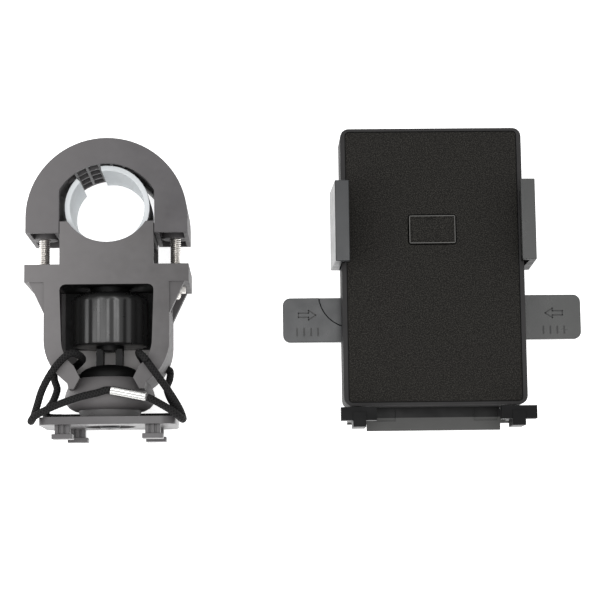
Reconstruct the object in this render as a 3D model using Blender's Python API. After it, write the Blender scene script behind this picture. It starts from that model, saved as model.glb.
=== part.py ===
"""Phone mount for a handlebar, as two loose halves lying on their backs.

The clamp half holds the handlebar: an arch, a frame, a ball joint and a plate
with four hooks. The cradle half holds the phone between two geared jaws. X is
to the right, Y is up along both halves and Z is up from the table. Sizes in
this file are in millimetres, and MM turns them into metres.
"""

import math

import bmesh
import bpy
from mathutils import Matrix, Vector

MM = 0.001
GAP = 0.3  # between two pieces that touch

# Where the two halves lie: the bore's axis, and the middle of the cradle.
CLAMP_X, CLAMP_Y = -69.85, 25.9
CRADLE_X, CRADLE_Y = 44.95, 5.5
DEPTH = 34.0  # clamp half, front to back
HALF = DEPTH / 2

# Clamp half, measured from the bore's axis.
BAR_R = 13.0  # inside of the sleeve
SLEEVE_R = 14.9
SLEEVE_GAP = (99.0, 136.0)  # degrees, where the sleeve is split
ARCH_R, ARCH_IN_R, ARCH_Y = 28.2, 19.2, -4.1
LEG_X, LEG_LOW = 16.6, -9.5
WALL = 1.5
BOLT_X, BOLT_R, BOLT_HOLE_R = 23.3, 1.95, 2.2
HEAD_R, HEAD_LOW, HEAD_TOP = 3.5, 2.0, 6.0
BLOCK_X, BLOCK_TOP = 16.3, -5.5
FLANGE_X, FLANGE_TOP, FLANGE_LOW = 28.5, -20.6, -26.8
YOKE_X, YOKE_BEND_Y, YOKE_BEND_X = 21.7, -47.0, 4.3
YOKE_WALL, ARM_W = 3.0, 6.0
NUT_R = 7.0 / math.sqrt(3.0)

# Ball joint and lock, all on one axis along Y.
BALL_R, BALL_Y = 11.6, -67.4
PAD_R = (11.85, 12.2)
CUP_IN_R = 12.45
COLLAR_R, COLLAR_TOP, COLLAR_LOW = 15.9, -59.3, -70.6
KNOB_R, KNOB_LOW, KNOB_TOP, FLUTES = 13.5, -47.8, -29.3, 18
SCREW_R = 4.9  # threaded core of the plunger, inside the knob

# Quick-release plate and its four hooks, which the cradle's receiver takes.
PLATE_X, PLATE_TOP, PLATE_LOW = 23.7, -73.5, -76.2
HOOKS = {
    "left_front": (-15.5, 11.5),
    "left_rear": (-12.2, -11.5),
    "right_front": (15.7, 11.5),
    "right_rear": (15.7, -11.5),
}
HOOK_LOW = -81.0

# Elastic cord and its crimp.
CORD_HOLE_Y, CORD_HOLE_Z = -55.0, -10.0
CORD_R, CRIMPED_R = 1.35, 0.95
CRIMP_R = (1.25, 1.6)

# Cradle half, measured from its middle. The table is Z = 0.
BODY_X, BODY_Y, BODY_CORNER = 32.4, 49.6, 3.0
PAD_X, PAD_Y = 30.5, 48.3
COVER_LOW, COVER_TOP = 5.0, 7.2
SHELL_LOW, PLATE_UNDER, FLOOR, FRONT = 7.5, 18.7, 20.7, 22.0
CAVITY_X, CAVITY_Y = 30.1, 47.3
JAW_Y = (0.0, 28.6)
TAB_Y = (-25.8, -9.8)
TAB_X, TAB_CORNER = 53.4, 2.6
JAW_OUT, JAW_LIP_OUT, JAW_LIP_IN, JAW_TOP = 36.0, 35.1, 30.1, 35.0
SLIDER_Z = ((8.3, 10.8), (11.2, 13.7))  # right-jaw slider, left-jaw slider
PINION_Y, TEETH, MODULE = 4.0, 12, 1.0
PITCH_R = TEETH * MODULE / 2
BUTTON_Y, BUTTON_X, BUTTON_H = 13.0, 8.3, 5.1
LATCH_PIN_Y, LATCH_PIN_Z = 24.0, 16.5
SCREW_X, SCREW_Y = 27.2, 44.4
TRAY_Z, TRAY_LOW = (8.1, 10.1), -57.8
FOOT_X = (21.6, 34.0)
FOOT_Y = (-55.4, -50.8)
FOOT_TOP = 33.0

PLASTIC = ("black_plastic", (0.028, 0.027, 0.029), 0.45, 0.0)
GLOSSY = ("gloss_black_plastic", (0.012, 0.012, 0.013), 0.2, 0.0)
JAW_PLASTIC = ("jaw_plastic", (0.04, 0.042, 0.047), 0.5, 0.0)
GREY_RUBBER = ("grey_rubber", (0.66, 0.69, 0.7), 0.6, 0.0)
BLACK_RUBBER = ("black_rubber", (0.02, 0.02, 0.02), 0.8, 0.0)
GRIP = ("grip_sheet", (0.02, 0.02, 0.018), 0.9, 0.0)
STEEL = ("bright_steel", (0.62, 0.6, 0.56), 0.3, 1.0)
CRIMP = ("crimp_metal", (0.75, 0.74, 0.72), 0.25, 1.0)
CORD = ("elastic_cord", (0.015, 0.015, 0.016), 0.85, 0.0)
NYLON = ("white_nylon", (0.7, 0.69, 0.65), 0.5, 0.0)


def clear_scene():
    for obj in list(bpy.data.objects):
        bpy.data.objects.remove(obj)


def material(slot):
    name, colour, roughness, metallic = slot
    found = bpy.data.materials.get(name)
    if found:
        return found
    made = bpy.data.materials.new(name)
    made.use_nodes = True
    shader = made.node_tree.nodes["Principled BSDF"]
    shader.inputs["Base Color"].default_value = (*colour, 1.0)
    shader.inputs["Roughness"].default_value = roughness
    shader.inputs["Metallic"].default_value = metallic
    return made


def empty(name, place):
    made = bpy.data.objects.new(name, None)
    made.location = Vector(place) * MM
    bpy.context.scene.collection.objects.link(made)
    return made


def mesh_object(name, build):
    """A new object whose mesh build fills in millimetres."""
    mesh = bpy.data.meshes.new(name)
    work = bmesh.new()
    build(work)
    bmesh.ops.remove_doubles(work, verts=work.verts, dist=1e-5)
    bmesh.ops.recalc_face_normals(work, faces=work.faces)
    bmesh.ops.scale(work, vec=(MM, MM, MM), verts=work.verts)
    work.to_mesh(mesh)
    work.free()
    made = bpy.data.objects.new(name, mesh)
    bpy.context.scene.collection.objects.link(made)
    return made


# Outlines: lists of (x, y) points in millimetres.


def arc(x, y, radius, start, end, steps):
    turns = [math.radians(start + (end - start) * i / steps) for i in range(steps + 1)]
    return [(x + radius * math.cos(a), y + radius * math.sin(a)) for a in turns]


def circle(x, y, radius, steps=24):
    return arc(x, y, radius, 0, 360, steps)[:-1]


def rounded(low, high, radius, steps=4):
    x0, y0, x1, y1 = low[0] + radius, low[1] + radius, high[0] - radius, high[1] - radius
    return (
        arc(x1, y1, radius, 0, 90, steps)
        + arc(x0, y1, radius, 90, 180, steps)
        + arc(x0, y0, radius, 180, 270, steps)
        + arc(x1, y0, radius, 270, 360, steps)
    )


def mirrored(right):
    """A closed outline from its right half, listed from top to bottom."""
    return right + [(-x, y) for x, y in reversed(right)]


# Solids.

TO_AXIS = {
    "z": lambda a, b, c: (a, b, c),
    "y": lambda a, b, c: (a, c, b),
    "x": lambda a, b, c: (c, a, b),
}


def add_prism(work, outline, low, high, axis="z"):
    place = TO_AXIS[axis]
    bottom = [work.verts.new(place(a, b, low)) for a, b in outline]
    top = [work.verts.new(place(a, b, high)) for a, b in outline]
    work.faces.new(bottom)
    work.faces.new(top)
    for i in range(len(outline)):
        k = (i + 1) % len(outline)
        work.faces.new((bottom[i], bottom[k], top[k], top[i]))


def prism(name, outline, low, high, axis="z"):
    """An outline extruded along an axis; along y the outline is (x, z), along x (y, z)."""
    return mesh_object(name, lambda work: add_prism(work, outline, low, high, axis))


def box(name, low, high):
    corners = [(low[0], low[1]), (high[0], low[1]), (high[0], high[1]), (low[0], high[1])]
    return prism(name, corners, low[2], high[2])


def boxes(name, ranges):
    """Several separate boxes in one helper, each (low, high)."""

    def build(work):
        for low, high in ranges:
            corners = [(low[0], low[1]), (high[0], low[1]), (high[0], high[1]), (low[0], high[1])]
            add_prism(work, corners, low[2], high[2])

    return mesh_object(name, build)


def cylinder(name, x, y, radius, low, high, axis="z", steps=24):
    return prism(name, circle(x, y, radius, steps), low, high, axis)


def turned(name, profile, steps=32, flute=0.0, closed=False):
    """A profile of (radius, y) points turned round the Y axis.

    A closed profile makes a ring; an open one starts and ends on the axis. With
    flute, the third value of a point is how much of that depth its ring gets.
    """

    def build(work):
        rings = []
        for point in profile:
            radius, y = point[0], point[1]
            share = point[2] if len(point) > 2 else 0.0
            if radius == 0:
                rings.append([work.verts.new((0, y, 0))] * steps)
                continue
            ring = []
            for i in range(steps):
                angle = 2 * math.pi * i / steps
                dip = flute * share * abs(math.cos(FLUTES * angle / 2)) ** 3
                r = radius - dip
                ring.append(work.verts.new((r * math.cos(angle), y, r * math.sin(angle))))
            rings.append(ring)
        pairs = list(zip(rings, rings[1:]))
        if closed:
            pairs.append((rings[-1], rings[0]))
        for upper, lower in pairs:
            for i in range(steps):
                k = (i + 1) % steps
                corners = list(dict.fromkeys((upper[i], upper[k], lower[k], lower[i])))
                work.faces.new(corners)

    return mesh_object(name, build)


def sphere_arc(radius, y, start, end, steps):
    """Points of a profile on a sphere about (0, y), by degrees from straight up."""
    turns = [math.radians(start + (end - start) * i / steps) for i in range(steps + 1)]
    return [(radius * math.sin(a), y + radius * math.cos(a)) for a in turns]


def coil(name, start, end, radius, wire, turns, steps=9, sides=5):
    """A spring of round wire along the line from start to end."""
    start, end = Vector(start), Vector(end)
    axis = (end - start).normalized()
    side = axis.orthogonal().normalized()
    up = axis.cross(side)

    def build(work):
        rings = []
        count = int(turns * steps)
        for i in range(count + 1):
            angle = 2 * math.pi * i / steps
            out = side * math.cos(angle) + up * math.sin(angle)
            middle = start + (end - start) * (i / count) + out * radius
            ring = []
            for k in range(sides):
                turn = 2 * math.pi * k / sides
                offset = (out * math.cos(turn) + axis * math.sin(turn)) * wire
                ring.append(work.verts.new(middle + offset))
            rings.append(ring)
        for one, two in zip(rings, rings[1:]):
            for k in range(sides):
                m = (k + 1) % sides
                work.faces.new((one[k], one[m], two[m], two[k]))
        work.faces.new(rings[0])
        work.faces.new(rings[-1])

    return mesh_object(name, build)


# Placing and combining.


def helper(obj, half):
    """A cutter or an addition: it belongs to a half, and never shows."""
    obj.parent = half
    obj.hide_render = True
    obj.display_type = "WIRE"
    return obj


def boolean(target, other, operation):
    modifier = target.modifiers.new(other.name, "BOOLEAN")
    modifier.operation = operation
    modifier.solver = "EXACT"
    modifier.object = helper(other, target.parent)


def cut(target, *cutters):
    for other in cutters:
        boolean(target, other, "DIFFERENCE")


def join(target, *additions):
    for other in additions:
        boolean(target, other, "UNION")


def keep_inside(target, other):
    boolean(target, other, "INTERSECT")


def piece(obj, half, slot, origin=(0, 0, 0), smooth=False):
    """A finished node: its half, its material, and its origin on its joint's axis."""
    obj.parent = half
    obj.data.materials.append(material(slot))
    shift = Vector(origin) * MM
    obj.data.transform(Matrix.Translation(-shift))
    obj.location = shift
    if smooth:
        obj.data.shade_smooth()
        obj.data.set_sharp_from_angle(angle=math.radians(35))
    return obj


# Clamp half.


def both(x):
    return (-x, x)


def yoke_side(inset, turn, steps=8):
    """The right edge of the yoke, inset from its outside, down to where it closes."""
    x = YOKE_X - inset
    bend = arc(YOKE_BEND_X, YOKE_BEND_Y, x - YOKE_BEND_X, 0, -turn, steps)
    return [(x, FLANGE_LOW)] + bend


def clamp_frame(half):
    saddle = arc(0, 3.5, 16.3, -33.6, -146.4, 14)
    block = [(BLOCK_X, FLANGE_LOW + 1), (BLOCK_X, BLOCK_TOP)] + saddle
    block += [(-BLOCK_X, BLOCK_TOP), (-BLOCK_X, FLANGE_LOW + 1)]
    frame = prism("clamp_frame", block, -HALF, HALF)
    piece(frame, half, PLASTIC)
    flange = mirrored([(FLANGE_X, FLANGE_TOP), (FLANGE_X, FLANGE_LOW)])
    join(frame, prism("frame_flange", flange, -HALF, HALF))

    outer = [(x, y + 1 if y == FLANGE_LOW else y) for x, y in yoke_side(0, 58)]
    yoke = helper(prism("frame_yoke", mirrored(outer + [(13.0, -64.0)]), -HALF, HALF), half)
    inner = mirrored(yoke_side(YOKE_WALL, 58) + [(11.9, -64.6)])
    cut(yoke, prism("yoke_inside", inner, -HALF + YOKE_WALL, HALF - YOKE_WALL))
    top = FLANGE_LOW - 0.8
    corner = arc(14.3, top - 2, 2, 90, 0, 3)
    opening = corner + yoke_side(ARM_W, 52)[1:] + [(9.2, -60.2), (11.6, -64.6)]
    cut(yoke, prism("yoke_window", mirrored(opening), HALF - YOKE_WALL - 1, HALF + 1))
    rear = rounded((-11.8, -45.0), (11.8, -31.4), 2.5, 3)
    cut(yoke, prism("yoke_rear_window", rear, -HALF - 1, -HALF + YOKE_WALL + 1))
    join(frame, yoke)

    for side in (-1, 1):
        for low in (-16.4, 12.4):
            near, far = YOKE_X - 0.8, YOKE_X + 5.2
            web = [(side * near, FLANGE_LOW + 1), (side * far, FLANGE_LOW + 1)]
            web += [(side * far, FLANGE_LOW), (side * (YOKE_X - 0.4), -38.6), (side * near, -38.6)]
            join(frame, prism(f"frame_gusset_{side}_{low}", web, low, low + 4.0))

    seat = BALL_R + GAP
    below = sphere_arc(seat, BALL_Y, 90, math.degrees(math.acos((COLLAR_LOW - BALL_Y) / seat)), 4)
    ring = [(11.4, COLLAR_TOP), (11.4, -60.6), (seat, -61.8)] + below
    ring += [(12.4, COLLAR_LOW), (14.2, -69.6), (15.4, -68.2), (COLLAR_R, -66.6), (COLLAR_R, -65.6)]
    ring += [(15.5, -64.0), (14.8, -62.4), (13.8, -61.0), (12.8, -59.9), (12.0, COLLAR_TOP)]
    join(frame, turned("frame_collar", ring, 36, closed=True))

    cut(frame, cylinder("saddle_channel", 0, 0, SLEEVE_R + GAP, -14.1, 14.1, steps=40))
    for x in both(BOLT_X):
        side = "left" if x < 0 else "right"
        low, high = FLANGE_LOW - 9, FLANGE_TOP + 1
        cut(frame, cylinder(f"flange_hole_{side}", x, 0, BOLT_HOLE_R, low, high, "y", 16))
        pocket = arc(x, 0, NUT_R + 0.3, 30, 390, 6)[:-1]
        cut(frame, prism(f"nut_pocket_{side}", pocket, low, FLANGE_LOW + 1.6, "y"))
        low, high = sorted((math.copysign(13.0, x), math.copysign(17.0, x)))
        cut(frame, box(f"block_recess_{side}", (low, -19.4, -13.5), (high, -11.6, 13.5)))
        low, high = sorted((x * 0.5, x * 1.2))
        cut(frame, cylinder(f"cord_hole_{side}", CORD_HOLE_Y, CORD_HOLE_Z, 1.9, low, high, "x", 14))
    cut(frame, cylinder("knob_pivot_hole", 0, 0, 3.2, FLANGE_LOW - 1, FLANGE_LOW + 2.2, "y", 20))


def leg_pocket(side):
    """The hollow inside one leg of the arch, open at the leg's end."""
    inner, outer = ARCH_IN_R + WALL, ARCH_R - WALL
    start = math.degrees(math.acos((LEG_X + WALL) / inner))
    shape = [(LEG_X + WALL, LEG_LOW - 1)]
    shape += arc(0, ARCH_Y, inner, start, 42, 3)
    shape += arc(0, ARCH_Y, outer, 42, 0, 6)
    shape += [(outer, LEG_LOW - 1)]
    return [(side * x, y) for x, y in shape]


def arch_ribs(work):
    """Pockets in the arch's inside, four along the bar and six round it."""
    for i in range(6):
        turn = Matrix.Rotation(math.radians(66 + 13 * i - 90), 4, "Z")
        for z in (-12.0, -4.0, 4.0, 12.0):
            before = set(work.verts)
            corners = [(-1.7, 18.0), (1.7, 18.0), (1.7, 22.6), (-1.7, 22.6)]
            add_prism(work, corners, z - 3.4, z + 3.4)
            new = [v for v in work.verts if v not in before]
            bmesh.ops.transform(work, matrix=turn, verts=new)
            bmesh.ops.translate(work, vec=(0, ARCH_Y, 0), verts=new)


def arch_outline():
    turn = math.degrees(math.acos(LEG_X / ARCH_IN_R))
    outline = [(ARCH_R, LEG_LOW)] + arc(0, ARCH_Y, ARCH_R, 0, 180, 40) + [(-ARCH_R, LEG_LOW)]
    outline += [(-LEG_X, LEG_LOW)]
    outline += arc(0, ARCH_Y, ARCH_IN_R, 180 - turn, turn, 20)
    return outline + [(LEG_X, LEG_LOW)]


def clamp_arch(half):
    arch = piece(prism("clamp_arch", arch_outline(), -HALF, HALF), half, PLASTIC)
    for side in (-1, 1):
        cut(arch, prism(f"arch_pocket_{side}", leg_pocket(side), WALL - HALF, HALF - WALL))
        x = side * BOLT_X
        join(arch, cylinder(f"arch_boss_{side}", x, 0, 4.8, LEG_LOW, 10.0, "y", 20))
        low, high = sorted((side * 17.5, side * 28.0))
        join(arch, box(f"arch_rib_{side}", (low, LEG_LOW + 1, -0.6), (high, 9.0, 0.6)))
    keep_inside(arch, prism("arch_limits", arch_outline(), -HALF - 1, HALF + 1))
    for x in both(BOLT_X):
        side = "left" if x < 0 else "right"
        cut(arch, cylinder(f"arch_hole_{side}", x, 0, BOLT_HOLE_R, LEG_LOW - 1, 3.0, "y", 16))
        cut(arch, cylinder(f"arch_counterbore_{side}", x, 0, HEAD_R + 0.4, 0.9, 30.0, "y", 20))
    cut(arch, mesh_object("arch_inner_ribs", arch_ribs))


def handlebar_sleeve(half):
    start, end = SLEEVE_GAP[1], SLEEVE_GAP[0] + 360
    outline = arc(0, 0, SLEEVE_R, start, end, 40) + arc(0, 0, BAR_R, end, start, 40)
    piece(prism("handlebar_sleeve", outline, -13.8, 13.8), half, GREY_RUBBER, smooth=True)


def bolts(half):
    hexagon = arc(0, 0, NUT_R, 30, 390, 6)[:-1]
    for side, x in (("left", -BOLT_X), ("right", BOLT_X)):
        profile = [(0, HEAD_TOP), (HEAD_R - 0.4, HEAD_TOP), (HEAD_R, HEAD_TOP - 0.4), (HEAD_R, HEAD_LOW)]
        profile += [(BOLT_R, HEAD_LOW), (BOLT_R, -30.4), (1.5, -31.0), (0, -31.0)]
        bolt = turned(f"bolt_{side}", profile, 20)
        bolt.data.transform(Matrix.Translation((x * MM, 0, 0)))
        piece(bolt, half, STEEL, (x, 0, 0), smooth=True)
        socket = [(x + a * 0.43, b * 0.43) for a, b in hexagon]
        cut(bolt, prism(f"bolt_socket_{side}", socket, 3.8, 6.5, "y"))
        washer = cylinder(f"washer_{side}", x, 0, 3.6, 1.2, 1.7, "y", 20)
        piece(washer, half, STEEL, (x, 0, 0), smooth=True)
        cut(washer, cylinder(f"washer_hole_{side}", x, 0, BOLT_HOLE_R, 0, 3, "y", 16))
        shape = [(x + a, b) for a, b in hexagon]
        nut = piece(prism(f"nut_{side}", shape, -28.7, -25.5, "y"), half, STEEL, (x, 0, 0))
        cut(nut, cylinder(f"nut_hole_{side}", x, 0, BOLT_HOLE_R, -30, -20, "y", 16))


def lock(half):
    washer = cylinder("knob_washer", 0, 0, 7.0, KNOB_TOP + GAP, -27.1, "y", 28)
    piece(washer, half, NYLON, smooth=True)
    cut(washer, cylinder("knob_washer_hole", 0, 0, 3.2, -31, -26, "y", 20))

    profile = [(0, KNOB_LOW), (KNOB_R - 0.5, KNOB_LOW, 1), (KNOB_R, KNOB_LOW + 0.5, 1)]
    profile += [(KNOB_R, KNOB_TOP - 3.2, 1), (KNOB_R - 0.6, KNOB_TOP - 1.4, 0.3)]
    profile += [(KNOB_R - 3.0, KNOB_TOP), (0, KNOB_TOP)]
    knob = piece(turned("lock_knob", profile, FLUTES * 4, flute=0.9), half, GLOSSY, smooth=True)
    join(knob, cylinder("knob_pivot", 0, 0, 2.9, KNOB_TOP - 1, -24.9, "y", 20))
    cut(knob, cylinder("knob_bore", 0, 0, SCREW_R + GAP, KNOB_LOW - 1, -37.2, "y", 24))

    core = [(0, -38.4), (SCREW_R - 0.5, -38.4), (SCREW_R, -39.0), (SCREW_R, -49.4), (0, -49.4)]
    plunger = piece(turned("lock_plunger", core, 24), half, PLASTIC, smooth=True)
    for side, low in (("left", -4.6), ("right", 2.2)):
        join(plunger, box(f"plunger_post_{side}", (low, -55.4, -4.0), (low + 2.4, -48.9, 4.0)))
    cup = [(1.3, -54.3), (4.0, -54.5), (6.6, -55.0), (8.8, -55.9)]
    cup += [(10.2, -57.0), (10.9, -58.3), (10.8, -60.0)]
    cup += sphere_arc(CUP_IN_R, BALL_Y, 55, 6, 8)
    join(plunger, turned("plunger_cup", cup, 32, closed=True))

    ring = sphere_arc(PAD_R[1], BALL_Y, 12, 38, 4) + sphere_arc(PAD_R[0], BALL_Y, 38, 12, 4)
    pad = turned("pressure_pad", ring, 28, closed=True)
    piece(pad, half, NYLON, (0, BALL_Y, 0), smooth=True)


def ball_and_plate(half):
    low = PLATE_TOP + GAP
    end = math.degrees(math.acos((low - BALL_Y) / BALL_R))
    profile = [(0, BALL_Y + BALL_R)] + sphere_arc(BALL_R, BALL_Y, 0, end, 11)[1:] + [(0, low)]
    ball = turned("swivel_ball", profile, 28)
    piece(ball, half, GLOSSY, (0, BALL_Y, 0), smooth=True)
    cut(ball, cylinder("ball_screw_hole", 0, 0, 1.8, low - 1, BALL_Y + 1, "y", 14))

    outline = rounded((-PLATE_X, -HALF), (PLATE_X, HALF), 5.0, 5)
    plate = prism("release_plate", outline, PLATE_LOW, PLATE_TOP, "y")
    piece(plate, half, PLASTIC, (0, BALL_Y, 0))
    for where, (x, z) in HOOKS.items():
        top = HOOK_LOW + 1.7
        stem = box("hook_stem_" + where, (x - 2.6, top - 0.5, z - 2.3), (x + 2.6, PLATE_LOW + 0.5, z + 2.3))
        foot = box("hook_foot_" + where, (x - 3.6, HOOK_LOW, z - 3.3), (x + 3.6, top, z + 3.3))
        join(plate, stem, foot)
        for groove in both(0.95):
            low, high = (x + groove - 0.35, top + 0.3, z + 1.7), (x + groove + 0.35, PLATE_LOW, z + 3.4)
            cut(plate, box(f"hook_groove_{where}_{groove}", low, high))
    cut(plate, cylinder("plate_recess", 0, 0, 9.0, PLATE_LOW - 1, PLATE_LOW + 1.0, "y", 32))
    cut(plate, cylinder("plate_hole", 0, 0, 1.8, PLATE_LOW - 1, PLATE_TOP + 1, "y", 14))
    profile = [(0, -67.0), (1.5, -67.0), (1.5, -75.5), (3.9, -75.5), (3.4, -76.6), (0, -77.0)]
    screw = piece(turned("plate_screw", profile, 20), half, STEEL, (0, BALL_Y, 0), smooth=True)
    cross = [((-1.8, -80, -0.3), (1.8, -76.2, 0.3)), ((-0.3, -80, -1.8), (0.3, -76.2, 1.8))]
    for number, (low, high) in enumerate(cross):
        cut(screw, box(f"plate_screw_cross_{number}", low, high))


# The cord's route, from the crimp to the right corner of the plate, over the
# right arm into the window and out through its wall, round behind the ball,
# and back the same way on the left. The crimp holds both of its ends.
CRIMP_ENDS = (Vector((1.6, -64.8, 19.2)), Vector((13.6, -67.2, 19.2)))
CORD_ROUTE = [
    (17.6, -69.0, 18.9),
    (21.4, -71.2, 18.2),
    (24.4, -73.3, 17.0),
    (26.0, -74.6, 14.2),
    (26.0, -73.6, 11.6),
    (24.8, -70.6, 13.4),
    (22.4, -66.6, 16.8),
    (19.4, -62.2, 18.7),
    (15.8, -57.2, 19.2),
    (12.9, -53.3, 18.6),
    (11.2, -51.6, 15.6),
    (10.9, -51.5, 9.0),
    (11.4, -52.4, 1.0),
    (12.9, -54.2, -6.4),
    (15.6, -55.0, -9.8),
    (18.0, -55.0, -10.0),
    (20.6, -55.6, -10.0),
    (20.6, -58.6, -9.4),
    (19.6, -62.0, -8.6),
    (21.0, -66.2, -8.4),
    (23.6, -69.8, -9.8),
    (23.2, -71.4, -12.4),
    (19.0, -71.7, -14.4),
    (10.0, -71.7, -14.9),
    (0.0, -71.7, -15.0),
    (-10.0, -71.7, -14.9),
    (-19.0, -71.7, -14.4),
    (-23.2, -71.4, -12.4),
    (-23.6, -69.8, -9.8),
    (-21.0, -66.2, -8.4),
    (-19.6, -62.0, -8.6),
    (-20.6, -58.6, -9.4),
    (-20.6, -55.6, -10.0),
    (-18.0, -55.0, -10.0),
    (-15.6, -55.0, -9.8),
    (-12.9, -54.2, -6.4),
    (-10.4, -53.2, 1.0),
    (-9.0, -52.9, 9.0),
    (-9.6, -52.2, 15.8),
    (-12.2, -51.9, 18.9),
    (-15.6, -54.6, 19.4),
    (-19.0, -59.0, 19.2),
    (-22.0, -64.4, 18.0),
    (-23.8, -69.4, 16.2),
    (-25.4, -73.4, 13.6),
    (-26.0, -74.9, 15.2),
    (-24.6, -73.4, 17.6),
    (-20.4, -71.2, 18.8),
    (-15.0, -69.0, 19.2),
    (-9.0, -67.0, 19.3),
    (-3.0, -65.6, 19.2),
]


def smooth_line(points, spacing):
    """Points along a smooth curve through the given ones, spacing apart."""
    points = [Vector(p) for p in points]
    padded = [2 * points[0] - points[1], *points, 2 * points[-1] - points[-2]]
    fine = []
    for a, b, c, d in zip(padded, padded[1:], padded[2:], padded[3:]):
        for i in range(16):
            t = i / 16
            bend = (2 * a - 5 * b + 4 * c - d) * t * t + (3 * b - a - 3 * c + d) * t**3
            fine.append((2 * b + (c - a) * t + bend) / 2)
    fine.append(points[-1])
    kept, walked = [fine[0]], 0.0
    for one, two in zip(fine, fine[1:]):
        walked += (two - one).length
        if walked >= spacing:
            kept.append(two)
            walked = 0.0
    kept[-1] = fine[-1]
    return kept


def tether(half):
    left, right = CRIMP_ENDS
    along = (right - left).normalized()
    middle = (left + right) / 2
    inside = [middle + along * 0.4, right - along * 0.6]
    route = [right + along * 0.6] + CORD_ROUTE + [left - along * 0.6]
    line = inside + smooth_line(route, 3.4) + [left + along * 0.6, middle - along * 0.4]
    curve = bpy.data.curves.new("tether_cord", "CURVE")
    curve.dimensions = "3D"
    curve.bevel_depth = CORD_R * MM
    curve.bevel_resolution = 2
    curve.use_fill_caps = True
    spline = curve.splines.new("POLY")
    spline.points.add(len(line) - 1)
    for number, (point, place) in enumerate(zip(spline.points, line)):
        point.co = (*(place * MM), 1.0)
        in_crimp = number < 2 or number >= len(line) - 2
        point.radius = CRIMPED_R / CORD_R if in_crimp else 1.0
    cord = bpy.data.objects.new("tether_cord", curve)
    bpy.context.scene.collection.objects.link(cord)
    cord.parent = half
    curve.materials.append(material(CORD))

    length = (right - left).length
    flared = CRIMP_R[0] + 0.1
    profile = [(CRIMP_R[1], -length / 2), (CRIMP_R[1], length / 2)]
    profile += [(flared, length / 2), (CRIMP_R[0], length / 2 - 0.4)]
    profile += [(CRIMP_R[0], 0.4 - length / 2), (flared, -length / 2)]
    crimp = turned("tether_crimp", profile, 16, closed=True)
    turn = Vector((0, 1, 0)).rotation_difference(along).to_matrix().to_4x4()
    crimp.data.transform(Matrix.Translation(middle * MM) @ turn)
    piece(crimp, half, CRIMP, smooth=True)


# Cradle half.


def button_outline(grow):
    low = (-BUTTON_X - grow, BUTTON_Y - BUTTON_H - grow)
    high = (BUTTON_X + grow, BUTTON_Y + BUTTON_H + grow)
    return rounded(low, high, 1.2, 3)


def cradle_shell(half):
    outer = rounded((-BODY_X, -BODY_Y), (BODY_X, BODY_Y), BODY_CORNER, 5)
    shell = piece(prism("cradle_shell", outer, SHELL_LOW, FRONT), half, PLASTIC)
    bed = rounded((-PAD_X - GAP, -PAD_Y - GAP), (PAD_X + GAP, PAD_Y + GAP), 1.5, 3)
    cut(shell, prism("shell_bed", bed, FLOOR, FRONT + 1))
    hollow = rounded((-CAVITY_X, -CAVITY_Y), (CAVITY_X, CAVITY_Y), 1.5, 3)
    cut(shell, prism("shell_hollow", hollow, SHELL_LOW - 1, PLATE_UNDER))
    for x in both(SCREW_X):
        for y in both(SCREW_Y):
            join(shell, cylinder(f"shell_boss_{x}_{y}", x, y, 2.9, SHELL_LOW, PLATE_UNDER + 1, steps=16))
    posts = {"upper": (-26.0, 33.0, 11.0), "lower": (26.0, -29.5, 13.4)}
    for name, (x, y, low) in posts.items():
        join(shell, cylinder(f"shell_post_{name}", x, y, 1.2, low, PLATE_UNDER + 1, steps=12))
    join(shell, cylinder("shell_pinion_boss", 0, PINION_Y, 2.9, 14.6, PLATE_UNDER + 1, steps=20))
    for x in both(5.0):
        lug = box(f"shell_lug_{x}", (x - 1.0, 21.8, 14.6), (x + 1.0, 26.2, PLATE_UNDER + 1))
        join(shell, lug)
    cut(shell, cylinder("shell_latch_holes", LATCH_PIN_Y, LATCH_PIN_Z, 1.1, -7, 7, "x", 14))
    cut(shell, cylinder("shell_pinion_hole", 0, PINION_Y, 1.5, 14, 18.3, steps=16))
    for x in both(SCREW_X):
        for y in both(SCREW_Y):
            cut(shell, cylinder(f"shell_screw_hole_{x}_{y}", x, y, 1.3, SHELL_LOW - 1, 16.5, steps=12))
    (low_z, low_top), (high_z, high_top) = SLIDER_Z
    slots = [
        ((29.0, JAW_Y[0] - 0.5, 7.0), (34.0, JAW_Y[1] + 0.5, low_top + 0.4)),
        ((-34.0, JAW_Y[0] - 0.5, high_z - 0.4), (-29.0, JAW_Y[1] + 0.5, high_top + 0.4)),
        ((-34.0, TAB_Y[0] - 0.5, 7.0), (-29.0, TAB_Y[1] + 0.5, low_top + 0.4)),
        ((29.0, TAB_Y[0] - 0.5, high_z - 0.4), (34.0, TAB_Y[1] + 0.5, high_top + 0.4)),
        ((-24.3, -52.0, 7.0), (24.3, -47.0, TRAY_Z[1] + 0.5)),
    ]
    cut(shell, boxes("shell_slots", slots))
    cut(shell, prism("shell_button_hole", button_outline(GAP), PLATE_UNDER - 1, FRONT + 1))


def grip_pad(half):
    outline = rounded((-PAD_X, -PAD_Y), (PAD_X, PAD_Y), 1.2, 3)
    pad = piece(prism("grip_pad", outline, FLOOR + GAP, FLOOR + 1.0), half, GRIP)
    cut(pad, prism("pad_button_hole", button_outline(0.4), FLOOR - 1, FRONT + 1))


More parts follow.
